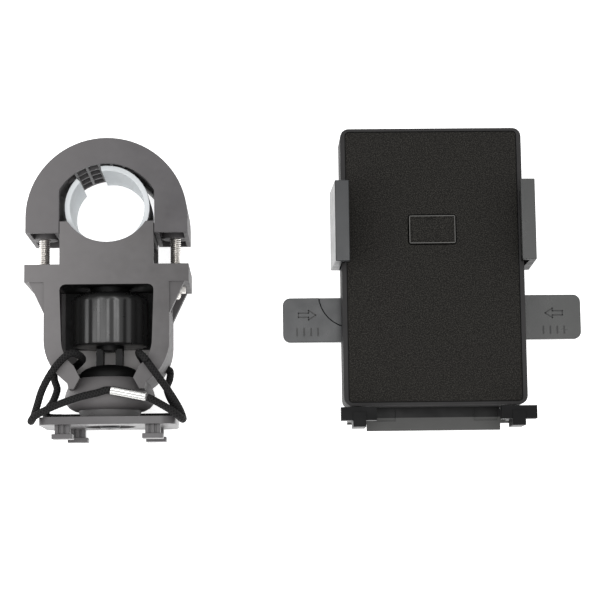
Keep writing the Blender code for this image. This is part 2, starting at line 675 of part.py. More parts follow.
def back_cover(half):
    outer = rounded((-BODY_X, -BODY_Y), (BODY_X, BODY_Y), BODY_CORNER, 5)
    cover = piece(prism("back_cover", outer, COVER_LOW, COVER_TOP), half, PLASTIC)
    boss = rounded((-25.0, -20.0), (25.0, 20.0), 3.0, 4)
    join(cover, prism("receiver", boss, 0, COVER_LOW + 1))
    cut(cover, box("receiver_hollow", (-22.8, -17.8, 1.8), (22.8, 17.8, 6.0)))
    for name, (x, y) in HOOKS.items():
        entry = ((x - 4.1, y - 6.2, -1), (x + 4.1, y + 1.0, 2.5))
        seat = ((x - 2.9, y - 1.0, -1), (x + 2.9, y + 5.4, 2.5))
        cut(cover, box("receiver_entry_" + name, *entry), box("receiver_slot_" + name, *seat))
    for x in both(SCREW_X):
        for y in both(SCREW_Y):
            name = f"{x}_{y}"
            cut(cover, cylinder("cover_hole_" + name, x, y, 1.3, 4, 9, steps=12))
            cut(cover, cylinder("cover_sink_" + name, x, y, 2.7, 4, 6.4, steps=16))


def cover_screws(half):
    number = 0
    for x in both(SCREW_X):
        for y in both(SCREW_Y):
            number += 1
            profile = [(0, 15.4), (0.5, 15.4), (1.0, 13.6), (1.0, 6.1), (2.35, 6.1), (2.0, 5.2), (0, 5.0)]
            screw = turned(f"cover_screw_{number}", profile, 14)
            screw.data.transform(Matrix.Rotation(math.radians(90), 4, "X"))
            screw.data.transform(Matrix.Translation((x * MM, y * MM, 0)))
            piece(screw, half, STEEL, (x, y, 0), smooth=True)
            slot = box(f"screw_slot_{number}", (x - 1.6, y - 0.3, 4), (x + 1.6, y + 0.3, 5.7))
            cut(screw, slot)


def rack_tooth(x, pitch_line, way):
    """One tooth of a rack: its root is past the pitch line, against way."""
    slope = math.tan(math.radians(20))
    half_width = MODULE * math.pi / 4 - 0.1
    add, root = 0.7 * MODULE, 1.4 * MODULE
    return [
        (x - half_width - root * slope, pitch_line - way * root),
        (x - half_width + add * slope, pitch_line + way * add),
        (x + half_width - add * slope, pitch_line + way * add),
        (x + half_width + root * slope, pitch_line - way * root),
    ]


def slider(name, half, side):
    """Jaw, web, rack and push tab in one piece. side is +1 for the right jaw."""
    low, top = SLIDER_Z[0] if side > 0 else SLIDER_Z[1]
    plate = [(10.0, TAB_Y[0]), (10.0, JAW_Y[0]), (34.0, JAW_Y[0])]
    plate += [(34.0, JAW_Y[1]), (-29.4, JAW_Y[1]), (-29.4, TAB_Y[1])]
    plate += arc(TAB_CORNER - TAB_X, TAB_Y[1] - TAB_CORNER, TAB_CORNER, 90, 180, 5)
    plate += arc(TAB_CORNER - TAB_X, TAB_Y[0] + TAB_CORNER, TAB_CORNER, 180, 270, 5)
    body = prism(name, [(side * x, y) for x, y in plate], low, top)
    piece(body, half, JAW_PLASTIC)
    wall = [(side * 32.8, low), (side * JAW_OUT, low)]
    wall += [(side * JAW_LIP_OUT, JAW_TOP), (side * 32.8, JAW_TOP)]
    join(body, prism(name + "_wall", wall, *JAW_Y, "y"))
    lip = sorted((side * JAW_LIP_IN, side * JAW_LIP_OUT))
    join(body, box(name + "_lip", (lip[0], JAW_Y[0], JAW_TOP - 2.4), (lip[1], JAW_Y[1], JAW_TOP)))
    ear_y = (JAW_Y[1] - 1, 36.0) if side > 0 else (-32.5, TAB_Y[0] + 1)
    ear_x = sorted((side * 2.0, side * 11.0))
    join(body, box(name + "_ear", (ear_x[0], ear_y[0], low), (ear_x[1], ear_y[1], top)))
    post_y = 33.0 if side > 0 else -29.5
    join(body, cylinder(name + "_post", side * 6.5, post_y, 1.2, top - 1, top + 3.6, steps=12))

    way = side  # the right jaw's rack lies below the pinion, and its teeth point up
    pitch_line = PINION_Y - way * PITCH_R
    root_line = pitch_line - way * 1.2
    far_line = PINION_Y + way * (PITCH_R + 1.4)
    slot_x = sorted((side * -25.4, side * 7.6))
    slot_y = sorted((root_line, far_line))
    cut(body, box(name + "_slot", (slot_x[0], slot_y[0], low - 1), (slot_x[1], slot_y[1], top + 1)))

    def teeth(work):
        pitch = MODULE * math.pi
        for number in range(-1, 8):
            x = -side * (number + 0.5) * pitch
            add_prism(work, rack_tooth(x, pitch_line, way), low, top)

    join(body, mesh_object(name + "_teeth", teeth))
    if side > 0:
        step = prism("tab_step", arc(-28.5, -8.6, 12.0, 180, 270, 8) + [(-28.5, -8.6)], top - 0.5, top + 1)
        cut(body, step)
    return body


def jaw_pads(half):
    for name, side in (("right_jaw_pad", 1), ("left_jaw_pad", -1)):
        low, high = sorted((side * 31.3, side * 32.5))
        pad = box(name, (low, 1.0, 22.5), (high, 26.2, 32.3))
        piece(pad, half, BLACK_RUBBER)


def involute_tooth(number):
    """Points of one pinion tooth, from its right root to its left root."""
    base = PITCH_R * math.cos(math.radians(20))
    tip, root = PITCH_R + 0.8 * MODULE, PITCH_R - 1.1 * MODULE
    middle = 2 * math.pi * number / TEETH + math.pi / 2
    spread = math.tan(math.radians(20)) - math.radians(20)
    width = math.pi / (2 * TEETH) - 0.1 / PITCH_R
    right = [(root, -width - spread)]
    for i in range(4):
        radius = base + (tip - base) * i / 3
        roll = math.sqrt(max(0.0, (radius / base) ** 2 - 1))
        right.append((radius, -(width + spread - (roll - math.atan(roll)))))
    points = right + [(radius, -angle) for radius, angle in reversed(right)]
    return [(r * math.cos(middle + a), PINION_Y + r * math.sin(middle + a)) for r, a in points]


def sync_gear(half):
    outline = [p for number in range(TEETH) for p in involute_tooth(number)]
    gear = prism("sync_pinion", outline, SLIDER_Z[0][0], SLIDER_Z[1][1])
    piece(gear, half, NYLON, (0, PINION_Y, 0))
    cut(gear, cylinder("pinion_bore", 0, PINION_Y, 1.5, 0, 20, steps=16))
    pin = cylinder("pinion_pin", 0, PINION_Y, 1.2, SHELL_LOW, 18.0, steps=16)
    piece(pin, half, STEEL, (0, PINION_Y, 0), smooth=True)


def jaw_springs(half):
    upper = coil("jaw_spring_upper", (-24.2, 33.0, 13.0), (4.7, 33.0, 13.0), 1.7, 0.3, 9)
    lower = coil("jaw_spring_lower", (24.2, -29.5, 16.0), (-4.7, -29.5, 16.0), 1.7, 0.3, 9)
    for spring in (upper, lower):
        piece(spring, half, STEEL, smooth=True)


def trigger(half):
    low, high = (-BUTTON_X, BUTTON_Y - BUTTON_H), (BUTTON_X, BUTTON_Y + BUTTON_H)
    button = prism("trigger_button", rounded(low, high, 1.2, 3), 18.1, 21.9)
    piece(button, half, GRIP, (0, BUTTON_Y, 0))
    rim = ((low[0] - 1.0, low[1] - 1.0), (high[0] + 1.0, high[1] + 1.0))
    join(button, prism("button_flange", rounded(*rim, 1.2, 3), 18.0, 18.4))
    join(button, cylinder("button_stem", 0, 11.0, 1.2, 17.6, 19.0, steps=14))
    field = ((low[0] + 0.9, low[1] + 0.9), (high[0] - 0.9, high[1] - 0.9))
    cut(button, prism("button_field", rounded(*field, 0.8, 3), 21.6, 23))

    lever = box("latch_lever", (-3.0, 9.0, 15.6), (3.0, 31.0, 17.4))
    piece(lever, half, PLASTIC, (0, LATCH_PIN_Y, LATCH_PIN_Z))
    join(lever, box("latch_tooth", (-2.0, 28.6, 14.2), (2.0, 31.0, 16.0)))
    cut(lever, cylinder("latch_bore", LATCH_PIN_Y, LATCH_PIN_Z, 0.85, -5, 5, "x", 14))
    pin = cylinder("latch_pin", LATCH_PIN_Y, LATCH_PIN_Z, 0.6, -5.8, 5.8, "x", 12)
    piece(pin, half, STEEL, (0, LATCH_PIN_Y, LATCH_PIN_Z), smooth=True)
    spring = coil("latch_spring", (0, 29.4, 17.85), (0, 29.4, 18.3), 1.5, 0.13, 1.4, 12)
    piece(spring, half, STEEL, smooth=True)


def foot_tray(half):
    tray = box("foot_tray", (-23.9, TRAY_LOW, TRAY_Z[0]), (23.9, -33.0, TRAY_Z[1]))
    piece(tray, half, JAW_PLASTIC)
    for side in (-1, 1):
        wing = sorted((side * 20.0, side * 30.9))
        leg = sorted((side * 25.3, side * 30.9))
        toe = sorted((side * 25.4, side * 29.9))
        head = sorted((side * FOOT_X[0], side * FOOT_X[1]))
        name = "left" if side < 0 else "right"
        join(tray, box(f"tray_wing_{name}", (wing[0], -55.4, TRAY_Z[0]), (wing[1], -50.4, TRAY_Z[1])))
        join(tray, box(f"tray_leg_{name}", (leg[0], -54.8, TRAY_Z[0] + 1), (leg[1], -51.4, FOOT_TOP - 1)))
        join(tray, box(f"tray_head_{name}", (head[0], FOOT_Y[0], 28.4), (head[1], FOOT_Y[1], FOOT_TOP)))
        join(tray, box(f"tray_toe_{name}", (toe[0], -57.7, 22.0), (toe[1], -52.5, FOOT_TOP + 0.6)))
    for name, low, high in (("left", -21.0, -13.6), ("right", 14.5, 23.0)):
        cut(tray, box(f"tray_notch_{name}", (low, -54.4, TRAY_Z[1] - 0.6), (high, -49.0, 12)))


def main():
    clear_scene()
    clamp = empty("clamp_half", (CLAMP_X, CLAMP_Y, HALF))
    clamp_frame(clamp)
    clamp_arch(clamp)
    handlebar_sleeve(clamp)
    bolts(clamp)
    lock(clamp)
    ball_and_plate(clamp)
    tether(clamp)
    cradle = empty("cradle_half", (CRADLE_X, CRADLE_Y, 0))
    cradle_shell(cradle)
    grip_pad(cradle)
    back_cover(cradle)
    cover_screws(cradle)
    slider("right_jaw_slider", cradle, 1)
    slider("left_jaw_slider", cradle, -1)
    jaw_pads(cradle)
    sync_gear(cradle)
    jaw_springs(cradle)
    trigger(cradle)
    foot_tray(cradle)
    bpy.context.view_layer.update()


main()
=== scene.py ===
import math

import bmesh
import bpy
from mathutils import Matrix, Vector


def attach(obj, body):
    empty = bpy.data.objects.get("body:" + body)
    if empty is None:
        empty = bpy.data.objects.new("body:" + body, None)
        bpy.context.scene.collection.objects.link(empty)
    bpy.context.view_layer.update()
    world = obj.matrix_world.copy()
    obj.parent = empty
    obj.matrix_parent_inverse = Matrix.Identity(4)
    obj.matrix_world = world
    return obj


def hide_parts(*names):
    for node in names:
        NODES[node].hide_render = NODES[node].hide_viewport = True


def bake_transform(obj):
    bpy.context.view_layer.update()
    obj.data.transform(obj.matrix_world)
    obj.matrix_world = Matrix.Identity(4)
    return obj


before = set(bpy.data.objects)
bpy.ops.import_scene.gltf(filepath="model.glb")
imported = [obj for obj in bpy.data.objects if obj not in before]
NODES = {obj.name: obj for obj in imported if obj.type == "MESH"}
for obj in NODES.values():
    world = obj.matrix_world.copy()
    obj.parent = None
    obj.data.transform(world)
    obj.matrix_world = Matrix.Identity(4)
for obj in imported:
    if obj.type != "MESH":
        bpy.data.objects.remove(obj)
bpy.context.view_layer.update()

MM = 0.001
CLAMP = Vector((-69.85, 25.9, 17.0))  # the bore's axis, as in the CAD, in mm
CRADLE = Vector((44.95, 5.5, 0.0))  # the cradle's middle on the table, in mm

# Fine grain of a surface: waves a metre, strength of the bump, height in metres.
SATIN = (3200, 0.2, 0.00003)
GLOSS = (900, 0.05, 0.00002)

CREASE = math.radians(32)  # edges sharper than this are rounded, or shaded as an edge

# Boxes in the row frame, (middle, half) in mm, whose inside gets a colour of its own. Places
# and colours were set to match measured brightness, as were the three fades below. Some are
# painted light and shade, marked at each; for the rest it isn't known whether the plastic itself
# differs there.
# painted light: the recessed wall behind the plunger's posts is tinted pale, as if lit
PAINTED_LIGHT_BEHIND_POSTS = ((-69.85, -25.85, 5.7), (13.0, 4.25, 3.3))
# painted shade: the inside of the clamp's window is tinted near-black
PAINTED_SHADE_IN_WINDOW = ((-69.85, -9.0, 17.45), (17.2, 12.6, 15.95))
RIGHT_JAW_END = ((77.5, 5.8, 20.0), (4.2, 1.2, 14.6))
# painted shade: a near-black band on the tray along the cradle's edge
PAINTED_SHADE_ON_TRAY_STEP = ((44.95, -41.1, 8.0), (24.2, 6.6, 9.0))

# Where one colour fades into another, in metres: along X, along X and along Z.
# painted highlight: the clamp's plastic turns paler towards the left along this span
CLAMP_HIGHLIGHT_FADE = (-0.098, -0.046)
JAW_FADE = (0.04, 0.09)
# painted reflection: the low tray is lighter than the feet, fading along Z
TRAY_REFLECTION_FADE = (0.012, 0.02)

# ---------------------------------------------------------------- materials


def socket(shader, name, value):
    shader.inputs[name].default_value = value


def row_place(tree):
    """Where a point is in the row frame, in metres."""
    return tree.nodes.new("ShaderNodeTexCoord").outputs["Object"]


def row_axis(tree, axis):
    split = tree.nodes.new("ShaderNodeSeparateXYZ")
    tree.links.new(row_place(tree), split.inputs["Vector"])
    return split.outputs[axis]


def noise(tree, scale, detail):
    """A noise in row-frame metres, so its scale is in waves a metre."""
    made = tree.nodes.new("ShaderNodeTexNoise")
    made.inputs["Scale"].default_value = scale
    made.inputs["Detail"].default_value = detail
    tree.links.new(row_place(tree), made.inputs["Vector"])
    return made.outputs["Fac"]


def calculated(tree, operation, one, two=None):
    """A math node; two is another output or a plain number."""
    made = tree.nodes.new("ShaderNodeMath")
    made.operation = operation
    tree.links.new(one, made.inputs[0])
    if isinstance(two, float):
        made.inputs[1].default_value = two
    elif two is not None:
        tree.links.new(two, made.inputs[1])
    return made.outputs["Value"]


def ranged(tree, value, low, high, start=0.3, end=0.7):
    made = tree.nodes.new("ShaderNodeMapRange")
    made.inputs["From Min"].default_value = start
    made.inputs["From Max"].default_value = end
    made.inputs["To Min"].default_value = low
    made.inputs["To Max"].default_value = high
    tree.links.new(value, made.inputs["Value"])
    return made.outputs["Result"]


def mixed(tree, factor, one, two):
    made = tree.nodes.new("ShaderNodeMix")
    made.data_type = "RGBA"
    made.inputs["A"].default_value = (*one, 1.0)
    made.inputs["B"].default_value = (*two, 1.0)
    tree.links.new(factor, made.inputs["Factor"])
    return made.outputs["Result"]


def bumped(tree, height, strength, distance, below=None):
    made = tree.nodes.new("ShaderNodeBump")
    made.inputs["Strength"].default_value = strength
    made.inputs["Distance"].default_value = distance
    tree.links.new(height, made.inputs["Height"])
    if below:
        tree.links.new(below, made.inputs["Normal"])
    return made.outputs["Normal"]


def blank_material(name):
    made = bpy.data.materials.new(name)
    made.use_nodes = True
    return made, made.node_tree, made.node_tree.nodes["Principled BSDF"]


def material(name, colour, rough, spread=0.15, grain=(2600, 0.25, 0.00004), blotch=60, **fixed):
    """Moulded or worked surface: blotchy colour and gloss, and a fine grain."""
    made, tree, shader = blank_material(name)
    dark = [c * (1 - spread) for c in colour]
    light = [min(1.0, c * (1 + spread)) for c in colour]
    patches = noise(tree, blotch, 4.0)
    tree.links.new(mixed(tree, ranged(tree, patches, 0, 1), dark, light), shader.inputs["Base Color"])
    gloss = noise(tree, blotch * 3.1, 5.0)
    tree.links.new(ranged(tree, gloss, *rough), shader.inputs["Roughness"])
    scale, strength, distance = grain
    normal = bumped(tree, noise(tree, scale, 2.0), strength, distance)
    tree.links.new(normal, shader.inputs["Normal"])
    for key, value in fixed.items():
        socket(shader, key.replace("_", " "), value)
    return made


def box_mask(tree, box):
    """1 inside a box in the row frame and 0 outside it."""
    middle, half = box
    where = row_place(tree)
    for operation, value in (("SUBTRACT", middle), ("DIVIDE", half), ("ABSOLUTE", None)):
        step = tree.nodes.new("ShaderNodeVectorMath")
        step.operation = operation
        tree.links.new(where, step.inputs[0])
        if value:
            step.inputs[1].default_value = [v * MM for v in value]
        where = step.outputs["Vector"]
    split = tree.nodes.new("ShaderNodeSeparateXYZ")
    tree.links.new(where, split.inputs["Vector"])
    most = calculated(tree, "MAXIMUM", split.outputs["X"], split.outputs["Y"])
    most = calculated(tree, "MAXIMUM", most, split.outputs["Z"])
    return ranged(tree, most, 1, 0, 0.985, 1.015)


def tint(tree, shader, factor, colour):
    """Lays another colour over the base colour where factor is 1."""
    under = shader.inputs["Base Color"].links[0].from_socket
    made = tree.nodes.new("ShaderNodeMix")
    made.data_type = "RGBA"
    made.inputs["B"].default_value = (*colour, 1.0)
    tree.links.new(factor, made.inputs["Factor"])
    tree.links.new(under, made.inputs["A"])
    tree.links.new(made.outputs["Result"], shader.inputs["Base Color"])


def frame_plastic(name, colour, paler):
    """Satin black, set by place: a painted highlight makes it paler to the left, painted light pales
    the wall behind the posts, painted shade makes it black in the window.
    """
    made = material(name, colour, (0.46, 0.6), 0.12, SATIN, 130, Specular_IOR_Level=0.25)
    tree = made.node_tree
    shader = tree.nodes["Principled BSDF"]
    # painted highlight: the plastic is tinted paler towards the left
    left = ranged(tree, row_axis(tree, "X"), 1, 0, *CLAMP_HIGHLIGHT_FADE)
    tint(tree, shader, left, paler)
    # painted light: the wall behind the posts is tinted pale
    tint(tree, shader, box_mask(tree, PAINTED_LIGHT_BEHIND_POSTS), (0.6, 0.58, 0.57))
    # painted shade: the inside of the window is tinted near-black
    tint(tree, shader, box_mask(tree, PAINTED_SHADE_IN_WINDOW), (0.006, 0.006, 0.006))
    return made


def jaw_plastic():
    """Satin charcoal, set by place: paler to the right, dark at the right jaw's lower end."""
    made = material("jaw_plastic", (0.015, 0.0165, 0.018), (0.27, 0.34), 0.06, SATIN)
    tree = made.node_tree
    shader = tree.nodes["Principled BSDF"]
    right = ranged(tree, row_axis(tree, "X"), 0, 1, *JAW_FADE)
    tint(tree, shader, right, (0.042, 0.043, 0.0415))
    dark = box_mask(tree, RIGHT_JAW_END)
    tint(tree, shader, dark, (0.004, 0.004, 0.004))
    tree.links.new(ranged(tree, dark, 0.42, 0.02, 0, 1), shader.inputs["Specular IOR Level"])
    return made


def tray_plastic():
    """Set by place: dark feet on a tray made lighter by painted reflection, with a dark step of
    painted shade along the cradle's edge.
    """
    made = material("tray_plastic", (0.006, 0.006, 0.0062), (0.34, 0.44), 0.1, SATIN)
    tree = made.node_tree
    shader = tree.nodes["Principled BSDF"]
    # painted reflection: the low tray is tinted lighter than the feet above it
    low = ranged(tree, row_axis(tree, "Z"), 1, 0, *TRAY_REFLECTION_FADE)
    tint(tree, shader, low, (0.07, 0.07, 0.068))
    # painted shade: a near-black band along the cradle's edge
    tint(tree, shader, box_mask(tree, PAINTED_SHADE_ON_TRAY_STEP), (0.002, 0.002, 0.002))
    tree.links.new(ranged(tree, low, 0.06, 0.15, 0, 1), shader.inputs["Specular IOR Level"])
    return made


def grip_sheet():
    """Near-black sheet with a speckled, fabric-like grain."""
    made, tree, shader = blank_material("grip_sheet_grain")
    speckle = ranged(tree, noise(tree, 3000, 2.5), 0, 1, 0.46, 0.64)
    warm = mixed(tree, speckle, (0.0095, 0.009, 0.0083), (0.038, 0.0362, 0.0325))
    tree.links.new(warm, shader.inputs["Base Color"])
    cells = tree.nodes.new("ShaderNodeTexVoronoi")
    cells.inputs["Scale"].default_value = 2400
    tree.links.new(row_place(tree), cells.inputs["Vector"])
    rough = bumped(tree, cells.outputs["Distance"], 0.4, 0.00008)
    normal = bumped(tree, noise(tree, 4200, 4.0), 0.4, 0.00006, rough)
    tree.links.new(normal, shader.inputs["Normal"])
    socket(shader, "Roughness", 0.82)
    socket(shader, "Specular IOR Level", 0.08)
    return made


def braid():
    """Woven sheath: two sets of crossing threads, along the cord's own UVs."""
    threads_round, thread_length = 5, 1.1
    made, tree, shader = blank_material("braided_sheath")
    where = tree.nodes.new("ShaderNodeUVMap")
    split = tree.nodes.new("ShaderNodeSeparateXYZ")
    tree.links.new(where.outputs["UV"], split.inputs["Vector"])
    along = calculated(tree, "MULTIPLY", split.outputs["X"], math.tau / thread_length)
    waves = []
    for way in (1.0, -1.0):
        turn = calculated(tree, "MULTIPLY", split.outputs["Y"], way * math.tau * threads_round)
        waves.append(calculated(tree, "SINE", calculated(tree, "ADD", turn, along)))
    height = calculated(tree, "MAXIMUM", waves[0], waves[1])
    raised = ranged(tree, height, 0, 1, -0.4, 1.0)
    colour = mixed(tree, raised, (0.0035, 0.0035, 0.004), (0.017, 0.0165, 0.0165))
    tree.links.new(colour, shader.inputs["Base Color"])
    fine = bumped(tree, noise(tree, 5200, 3.0), 0.4, 0.00006)
    tree.links.new(bumped(tree, height, 0.8, 0.00012, fine), shader.inputs["Normal"])
    socket(shader, "Roughness", 0.72)
    socket(shader, "Specular IOR Level", 0.15)
    return made


# the last colour of each is the painted highlight to the left
FRAME_BLACK = frame_plastic("frame_plastic", (0.085, 0.081, 0.082), (0.152, 0.145, 0.146))
ARCH_BLACK = frame_plastic("arch_plastic", (0.079, 0.075, 0.078), (0.124, 0.118, 0.12))
SHELL_BLACK = material(
    "shell_plastic", (0.03, 0.0292, 0.0294), (0.55, 0.66), 0.1, SATIN, Specular_IOR_Level=0.12
)
JAW_GREY = jaw_plastic()
PLATE_BLACK = material(
    "plate_plastic", (0.085, 0.081, 0.083), (0.3, 0.4), 0.08, SATIN, Specular_IOR_Level=0.3
)
CUP_BLACK = material(
    "plunger_plastic", (0.005, 0.005, 0.005), (0.4, 0.5), 0.1, SATIN, Specular_IOR_Level=0.15
)
GLOSS_BLACK = material("knob_gloss", (0.018, 0.018, 0.018), (0.26, 0.34), 0.1, GLOSS)
# the ball is glossy black; its colour is raised to a dark grey, part its own black and part a painted
# highlight
BALL_BLACK = material("ball_gloss", (0.13, 0.127, 0.127), (0.26, 0.34), 0.08, GLOSS)
SLEEVE_GREY = material(
    "sleeve_rubber", (0.6, 0.625, 0.64), (0.5, 0.64), 0.03, (2200, 0.2, 0.00004), 90
)
PAD_RUBBER = material(
    "jaw_liner", (0.009, 0.009, 0.009), (0.8, 0.9), 0.15, (2400, 0.5, 0.00008), Specular_IOR_Level=0.05
)
STEEL = material(
    "zinc_steel", (0.82, 0.795, 0.76), (0.36, 0.42), 0.02, (2600, 0.0, 0.00001), 90, Metallic=1.0
)
DARK_STEEL = material("black_oxide", (0.03, 0.03, 0.032), (0.35, 0.5), 0.1, Metallic=0.6)
CRIMP_METAL = material(
    "crimp_tin", (0.76, 0.755, 0.74), (0.2, 0.28), 0.03, (1800, 0.05, 0.00001), Metallic=1.0
)
NYLON = material("white_nylon", (0.66, 0.65, 0.61), (0.42, 0.55), 0.04, (2000, 0.2, 0.00004))
LINE_DARK = material("engraved_line", (0.018, 0.018, 0.018), (0.5, 0.6), 0.1)
RIM_LIGHT = material("button_line", (0.1, 0.098, 0.092), (0.4, 0.5), 0.06)
SHEET = grip_sheet()
BRAID = braid()

LOOKS = {
    "clamp_frame": FRAME_BLACK,
    "clamp_arch": ARCH_BLACK,
    "handlebar_sleeve": SLEEVE_GREY,
    "washer_left": STEEL,
    "washer_right": STEEL,
    "nut_left": STEEL,
    "nut_right": STEEL,
    "knob_washer": CUP_BLACK,
    "lock_plunger": CUP_BLACK,
    "pressure_pad": NYLON,
    "swivel_ball": BALL_BLACK,
    "release_plate": PLATE_BLACK,
    "plate_screw": DARK_STEEL,
    "cradle_shell": SHELL_BLACK,
    "grip_pad": SHEET,
    "back_cover": SHELL_BLACK,
    "cover_screw_1": STEEL,
    "cover_screw_2": STEEL,
    "cover_screw_3": STEEL,
    "cover_screw_4": STEEL,
    "right_jaw_slider": JAW_GREY,
    "left_jaw_slider": JAW_GREY,
    "right_jaw_pad": PAD_RUBBER,
    "left_jaw_pad": PAD_RUBBER,
    "sync_pinion": NYLON,
    "pinion_pin": STEEL,
    "jaw_spring_upper": STEEL,
    "jaw_spring_lower": STEEL,
    "trigger_button": SHEET,
    "latch_lever": PLATE_BLACK,
    "latch_pin": STEEL,
    "latch_spring": STEEL,
    "foot_tray": tray_plastic(),
}

# How far each moulded piece's edges are rounded, in mm.
EDGES = {
    "clamp_frame": 0.35,
    "clamp_arch": 0.4,
    "handlebar_sleeve": 0.25,
    "release_plate": 0.35,
    "lock_plunger": 0.2,
    "cradle_shell": 0.3,
    "back_cover": 0.3,
    "right_jaw_slider": 0.3,
    "left_jaw_slider": 0.3,
    "foot_tray": 0.25,
    "grip_pad": 0.15,
    "trigger_button": 0.12,
    "right_jaw_pad": 0.25,
    "left_jaw_pad": 0.25,
}


def dress(name, look, edge):
    """A CAD node keeps its mesh and gets its look, and soft moulded edges."""
    obj = NODES[name]
    mesh = obj.data
    mesh.materials.clear()
    mesh.materials.append(look)
    if "custom_normal" in mesh.attributes:
        mesh.attributes.remove(mesh.attributes["custom_normal"])
    mesh.shade_smooth()
    weld = obj.modifiers.new("weld", "WELD")
    weld.merge_threshold = 1e-6
    flat = obj.modifiers.new("flat", "DECIMATE")
    flat.decimate_type = "DISSOLVE"
    flat.angle_limit = math.radians(0.4)
    if edge:
        bevel = obj.modifiers.new("edge", "BEVEL")
        bevel.width = edge * MM
        bevel.segments = 2
        bevel.limit_method = "ANGLE"
        bevel.angle_limit = CREASE
        bevel.harden_normals = True
    else:
        split = obj.modifiers.new("split", "EDGE_SPLIT")
        split.split_angle = CREASE


for node, look in LOOKS.items():
    dress(node, look, EDGES.get(node, 0.0))

# ------------------------------------------------------------ building meshes


def new_piece(name, build, place, look, smooth):
    """A mesh that build fills in millimetres about place, in the row frame."""
    mesh = bpy.data.meshes.new(name)
    work = bmesh.new()
    build(work)
    bmesh.ops.remove_doubles(work, verts=work.verts, dist=1e-5)
    bmesh.ops.recalc_face_normals(work, faces=work.faces)
    bmesh.ops.transform(work, matrix=Matrix.Scale(MM, 4) @ Matrix.Translation(place), verts=work.verts)
    work.to_mesh(mesh)
    work.free()
    mesh.materials.append(look)
    obj = bpy.data.objects.new(name, mesh)
    bpy.context.scene.collection.objects.link(obj)
    mesh.shade_smooth()
    mesh.set_sharp_from_angle(angle=math.radians(smooth))
    return obj


def rings_to_faces(work, rings):
    """Joins rings of points, each (x, y, z), into a closed skin."""
    rows = [[work.verts.new(p) for p in ring] for ring in rings]
    for one, two in zip(rows, rows[1:]):
        for i in range(len(one)):
            k = (i + 1) % len(one)
            work.faces.new((one[i], one[k], two[k], two[i]))
    work.faces.new(rows[0])
    work.faces.new(rows[-1])


def turned_ring(radius, y, steps, shape=None):
    """A ring about Y; shape(angle) scales its radius."""
    ring = []
    for i in range(steps):
        angle = math.tau * i / steps
        r = radius * (shape(angle) if shape else 1.0)
        ring.append((r * math.cos(angle), y, r * math.sin(angle)))
    return ring


# ---------------------------------------------------------------- clamp bolts

PITCH, THREAD_R, THREAD_DEPTH = 0.7, 1.95, 0.3
BOLT_X, HEAD_LOW, HEAD_TOP, HEAD_R = 23.3, 2.0, 6.0, 3.5
THREAD_LOW, THREAD_LEAD_IN = -30.8, 0.8
BOLT_STEPS, ROWS_A_TURN = 24, 6
SOCKET_APOTHEM, SOCKET_DEPTH = 1.5, 2.2


def hexagon(angle):
    """How much further a hexagon reaches than its apothem, at an angle."""
    return 1 / math.cos((angle % (math.pi / 3)) - math.pi / 6)


def bolt(work):
    """A socket-head bolt along Y with its thread cut as one helix."""
    rings = [turned_ring(1.2, THREAD_LOW - 0.2, BOLT_STEPS)]
    rows = int((HEAD_LOW - 0.1 - THREAD_LOW) / (PITCH / ROWS_A_TURN))
    for row in range(rows):
        y = THREAD_LOW + row * PITCH / ROWS_A_TURN
        fade = min(1.0, (y - THREAD_LOW) / THREAD_LEAD_IN)
        ring = []
        for i in range(BOLT_STEPS):
            angle = math.tau * i / BOLT_STEPS
            phase = (y / PITCH + i / BOLT_STEPS) % 1.0
            depth = THREAD_DEPTH * abs(2 * phase - 1)
            r = (THREAD_R - depth) * (0.8 + 0.2 * fade)
            ring.append((r * math.cos(angle), y, r * math.sin(angle)))
        rings.append(ring)
    rings.append(turned_ring(THREAD_R - 0.1, HEAD_LOW, BOLT_STEPS))
    rings.append(turned_ring(HEAD_R, HEAD_LOW, BOLT_STEPS))
    rings.append(turned_ring(HEAD_R, HEAD_TOP - 0.4, BOLT_STEPS))
    rings.append(turned_ring(HEAD_R - 0.35, HEAD_TOP, BOLT_STEPS))
    rings.append(turned_ring(SOCKET_APOTHEM, HEAD_TOP, BOLT_STEPS, hexagon))
    rings.append(turned_ring(SOCKET_APOTHEM, HEAD_TOP - SOCKET_DEPTH, BOLT_STEPS, hexagon))
    rings_to_faces(work, rings)


for side, x in (("left", -BOLT_X), ("right", BOLT_X)):
    screw = new_piece(f"threaded_bolt_{side}", bolt, CLAMP + Vector((x, 0, 0)), STEEL, 28)
    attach(screw, f"{side}_bolt")
    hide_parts(f"bolt_{side}")

# ------------------------------------------------------------------ lock knob

KNOB_R, KNOB_LOW, KNOB_TOP, FLUTES = 13.5, -47.8, -29.3, 18
FLUTE_DEPTH = 0.4
KNOB_STEPS = FLUTES * 12
PIVOT_R, PIVOT_TOP = 2.9, -24.9
BORE_R, BORE_TOP = 5.2, -37.2


